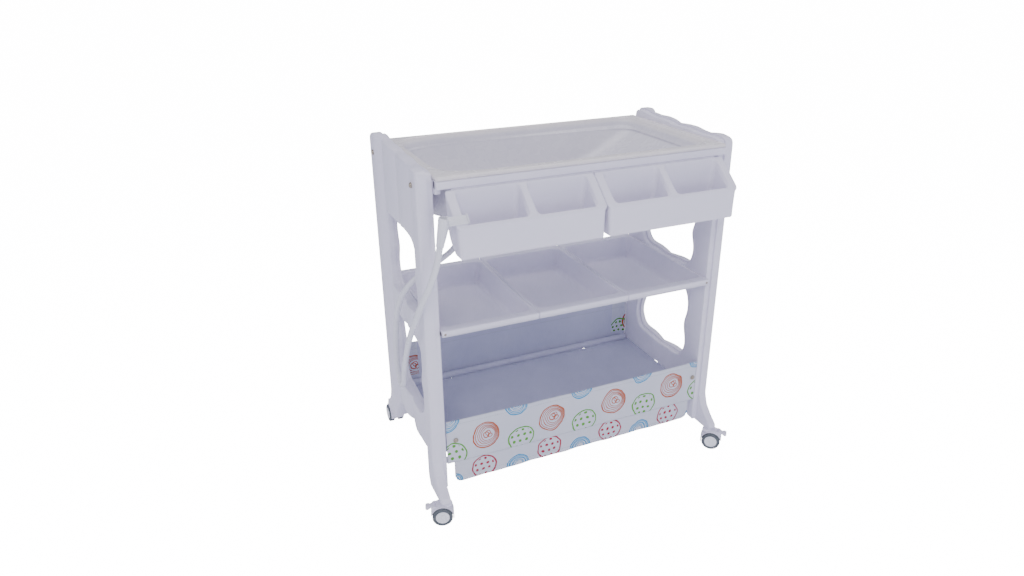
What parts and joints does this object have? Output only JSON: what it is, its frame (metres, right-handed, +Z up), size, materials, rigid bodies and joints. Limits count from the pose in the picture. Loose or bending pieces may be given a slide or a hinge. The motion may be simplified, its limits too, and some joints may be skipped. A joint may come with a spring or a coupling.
{
  "type": "changing table",
  "caption": "Baby changing table on castors: a moulded bath with drain hose between two side panels, a front organiser, a tray shelf and a cloth basket.",
  "frame": {"origin": "on the floor, under the centre of the table's bounding box", "axes": "+X to the right along the table's length, -Y to the front where the organiser hangs, +Z up"},
  "size_m": [0.8702, 0.58, 0.8725],
  "materials": {
    "white_plastic": "white moulded plastic, satin gloss",
    "bath_plastic": "smooth glossy off-white plastic",
    "printed_cloth": "white woven cloth with a printed pattern of rings and dots",
    "lining_cloth": "lilac-grey padded lining cloth",
    "tread": "slate-grey rubber",
    "steel": "dull zinc-plated steel",
    "hose": "soft white plastic hose"
  },
  "bodies": {
    "root": {"left_outer_panel": "white_plastic", "left_inner_panel": "white_plastic", "right_outer_panel": "white_plastic", "right_inner_panel": "white_plastic", "upper_front_rail": "white_plastic", "upper_rear_rail": "white_plastic", "shelf_front_rail": "white_plastic", "shelf_rear_rail": "white_plastic", "basket_front_rail": "white_plastic", "basket_rear_rail": "white_plastic", "drain_spigot": "white_plastic", "drain_locknut": "white_plastic", "organiser_left": "white_plastic", "organiser_right": "white_plastic", "shelf_tray_left": "white_plastic", "shelf_tray_middle": "white_plastic", "shelf_tray_right": "white_plastic", "bath_tub": "bath_plastic", "rail_bolt_front_left": "steel", "rail_bolt_front_right": "steel", "rail_bolt_rear_left": "steel", "rail_bolt_rear_right": "steel", "press_stud_left": "steel", "press_stud_right": "steel", "drain_hose": "hose", "hose_clip": "hose", "basket_floor": "lining_cloth", "basket_back_wall": "lining_cloth", "basket_front_apron": "printed_cloth", "basket_front_skirt": "printed_cloth"},
    "drain_plug": {"drain_plug": "hose"},
    "castor_front_left_swivel": {"castor_front_left_hood": "white_plastic", "castor_front_left_axle": "steel"},
    "castor_front_left_wheel_a": {"castor_front_left_tyre_a": "tread", "castor_front_left_hub_a": "white_plastic"},
    "castor_front_left_wheel_b": {"castor_front_left_tyre_b": "tread", "castor_front_left_hub_b": "white_plastic"},
    "castor_front_left_pedal": {"castor_front_left_brake_pedal": "white_plastic"},
    "castor_front_right_swivel": {"castor_front_right_hood": "white_plastic", "castor_front_right_axle": "steel"},
    "castor_front_right_wheel_a": {"castor_front_right_tyre_a": "tread", "castor_front_right_hub_a": "white_plastic"},
    "castor_front_right_wheel_b": {"castor_front_right_tyre_b": "tread", "castor_front_right_hub_b": "white_plastic"},
    "castor_front_right_pedal": {"castor_front_right_brake_pedal": "white_plastic"},
    "castor_back_left_swivel": {"castor_back_left_hood": "white_plastic", "castor_back_left_axle": "steel"},
    "castor_back_left_wheel_a": {"castor_back_left_tyre_a": "tread", "castor_back_left_hub_a": "white_plastic"},
    "castor_back_left_wheel_b": {"castor_back_left_tyre_b": "tread", "castor_back_left_hub_b": "white_plastic"},
    "castor_back_left_pedal": {"castor_back_left_brake_pedal": "white_plastic"},
    "castor_back_right_swivel": {"castor_back_right_hood": "white_plastic", "castor_back_right_axle": "steel"},
    "castor_back_right_wheel_a": {"castor_back_right_tyre_a": "tread", "castor_back_right_hub_a": "white_plastic"},
    "castor_back_right_wheel_b": {"castor_back_right_tyre_b": "tread", "castor_back_right_hub_b": "white_plastic"},
    "castor_back_right_pedal": {"castor_back_right_brake_pedal": "white_plastic"}
  },
  "joints": [
    {"name": "drain_plug_lift", "type": "slide", "parent": "root", "child": "drain_plug", "axis": [0, 0, 1], "range_m": [0, 0.03]},
    {"name": "castor_front_left_turn", "type": "hinge", "parent": "root", "child": "castor_front_left_swivel", "pos_m": [-0.381, -0.236, 0.055], "axis": [0, 0, 1], "continuous": true},
    {"name": "castor_front_left_roll_a", "type": "hinge", "parent": "castor_front_left_swivel", "child": "castor_front_left_wheel_a", "pos_m": [-0.38969, -0.21996, 0.025], "axis": [-0.2924, -0.9563, 0], "continuous": true},
    {"name": "castor_front_left_roll_b", "type": "hinge", "parent": "castor_front_left_swivel", "child": "castor_front_left_wheel_b", "pos_m": [-0.39717, -0.24444, 0.025], "axis": [-0.2924, -0.9563, 0], "continuous": true},
    {"name": "castor_front_left_brake", "type": "hinge", "parent": "castor_front_left_swivel", "child": "castor_front_left_pedal", "pos_m": [-0.41304, -0.22621, 0.049], "axis": [-0.2924, -0.9563, 0], "range_deg": [0, 14]},
    {"name": "castor_front_right_turn", "type": "hinge", "parent": "root", "child": "castor_front_right_swivel", "pos_m": [0.381, -0.236, 0.055], "axis": [0, 0, 1], "continuous": true},
    {"name": "castor_front_right_roll_a", "type": "hinge", "parent": "castor_front_right_swivel", "child": "castor_front_right_wheel_a", "pos_m": [0.38257, -0.25418, 0.025], "axis": [0.6494, 0.7604, 0], "continuous": true},
    {"name": "castor_front_right_roll_b", "type": "hinge", "parent": "castor_front_right_swivel", "child": "castor_front_right_wheel_b", "pos_m": [0.3992, -0.23471, 0.025], "axis": [0.6494, 0.7604, 0], "continuous": true},
    {"name": "castor_front_right_brake", "type": "hinge", "parent": "castor_front_right_swivel", "child": "castor_front_right_pedal", "pos_m": [0.40647, -0.25776, 0.049], "axis": [0.6494, 0.7604, 0], "range_deg": [0, 14]},
    {"name": "castor_back_left_turn", "type": "hinge", "parent": "root", "child": "castor_back_left_swivel", "pos_m": [-0.381, 0.236, 0.055], "axis": [0, 0, 1], "continuous": true},
    {"name": "castor_back_left_roll_a", "type": "hinge", "parent": "castor_back_left_swivel", "child": "castor_back_left_wheel_a", "pos_m": [-0.3682, 0.249, 0.025], "axis": [-1, 0, 0], "continuous": true},
    {"name": "castor_back_left_roll_b", "type": "hinge", "parent": "castor_back_left_swivel", "child": "castor_back_left_wheel_b", "pos_m": [-0.3938, 0.249, 0.025], "axis": [-1, 0, 0], "continuous": true},
    {"name": "castor_back_left_brake", "type": "hinge", "parent": "castor_back_left_swivel", "child": "castor_back_left_pedal", "pos_m": [-0.381, 0.2695, 0.049], "axis": [-1, 0, 0], "range_deg": [0, 14]},
    {"name": "castor_back_right_turn", "type": "hinge", "parent": "root", "child": "castor_back_right_swivel", "pos_m": [0.381, 0.236, 0.055], "axis": [0, 0, 1], "continuous": true},
    {"name": "castor_back_right_roll_a", "type": "hinge", "parent": "castor_back_right_swivel", "child": "castor_back_right_wheel_a", "pos_m": [0.39717, 0.22756, 0.025], "axis": [-0.2924, 0.9563, 0], "continuous": true},
    {"name": "castor_back_right_roll_b", "type": "hinge", "parent": "castor_back_right_swivel", "child": "castor_back_right_wheel_b", "pos_m": [0.38969, 0.25204, 0.025], "axis": [-0.2924, 0.9563, 0], "continuous": true},
    {"name": "castor_back_right_brake", "type": "hinge", "parent": "castor_back_right_swivel", "child": "castor_back_right_pedal", "pos_m": [0.41304, 0.24579, 0.049], "axis": [-0.2924, 0.9563, 0], "range_deg": [0, 14]}
  ]
}
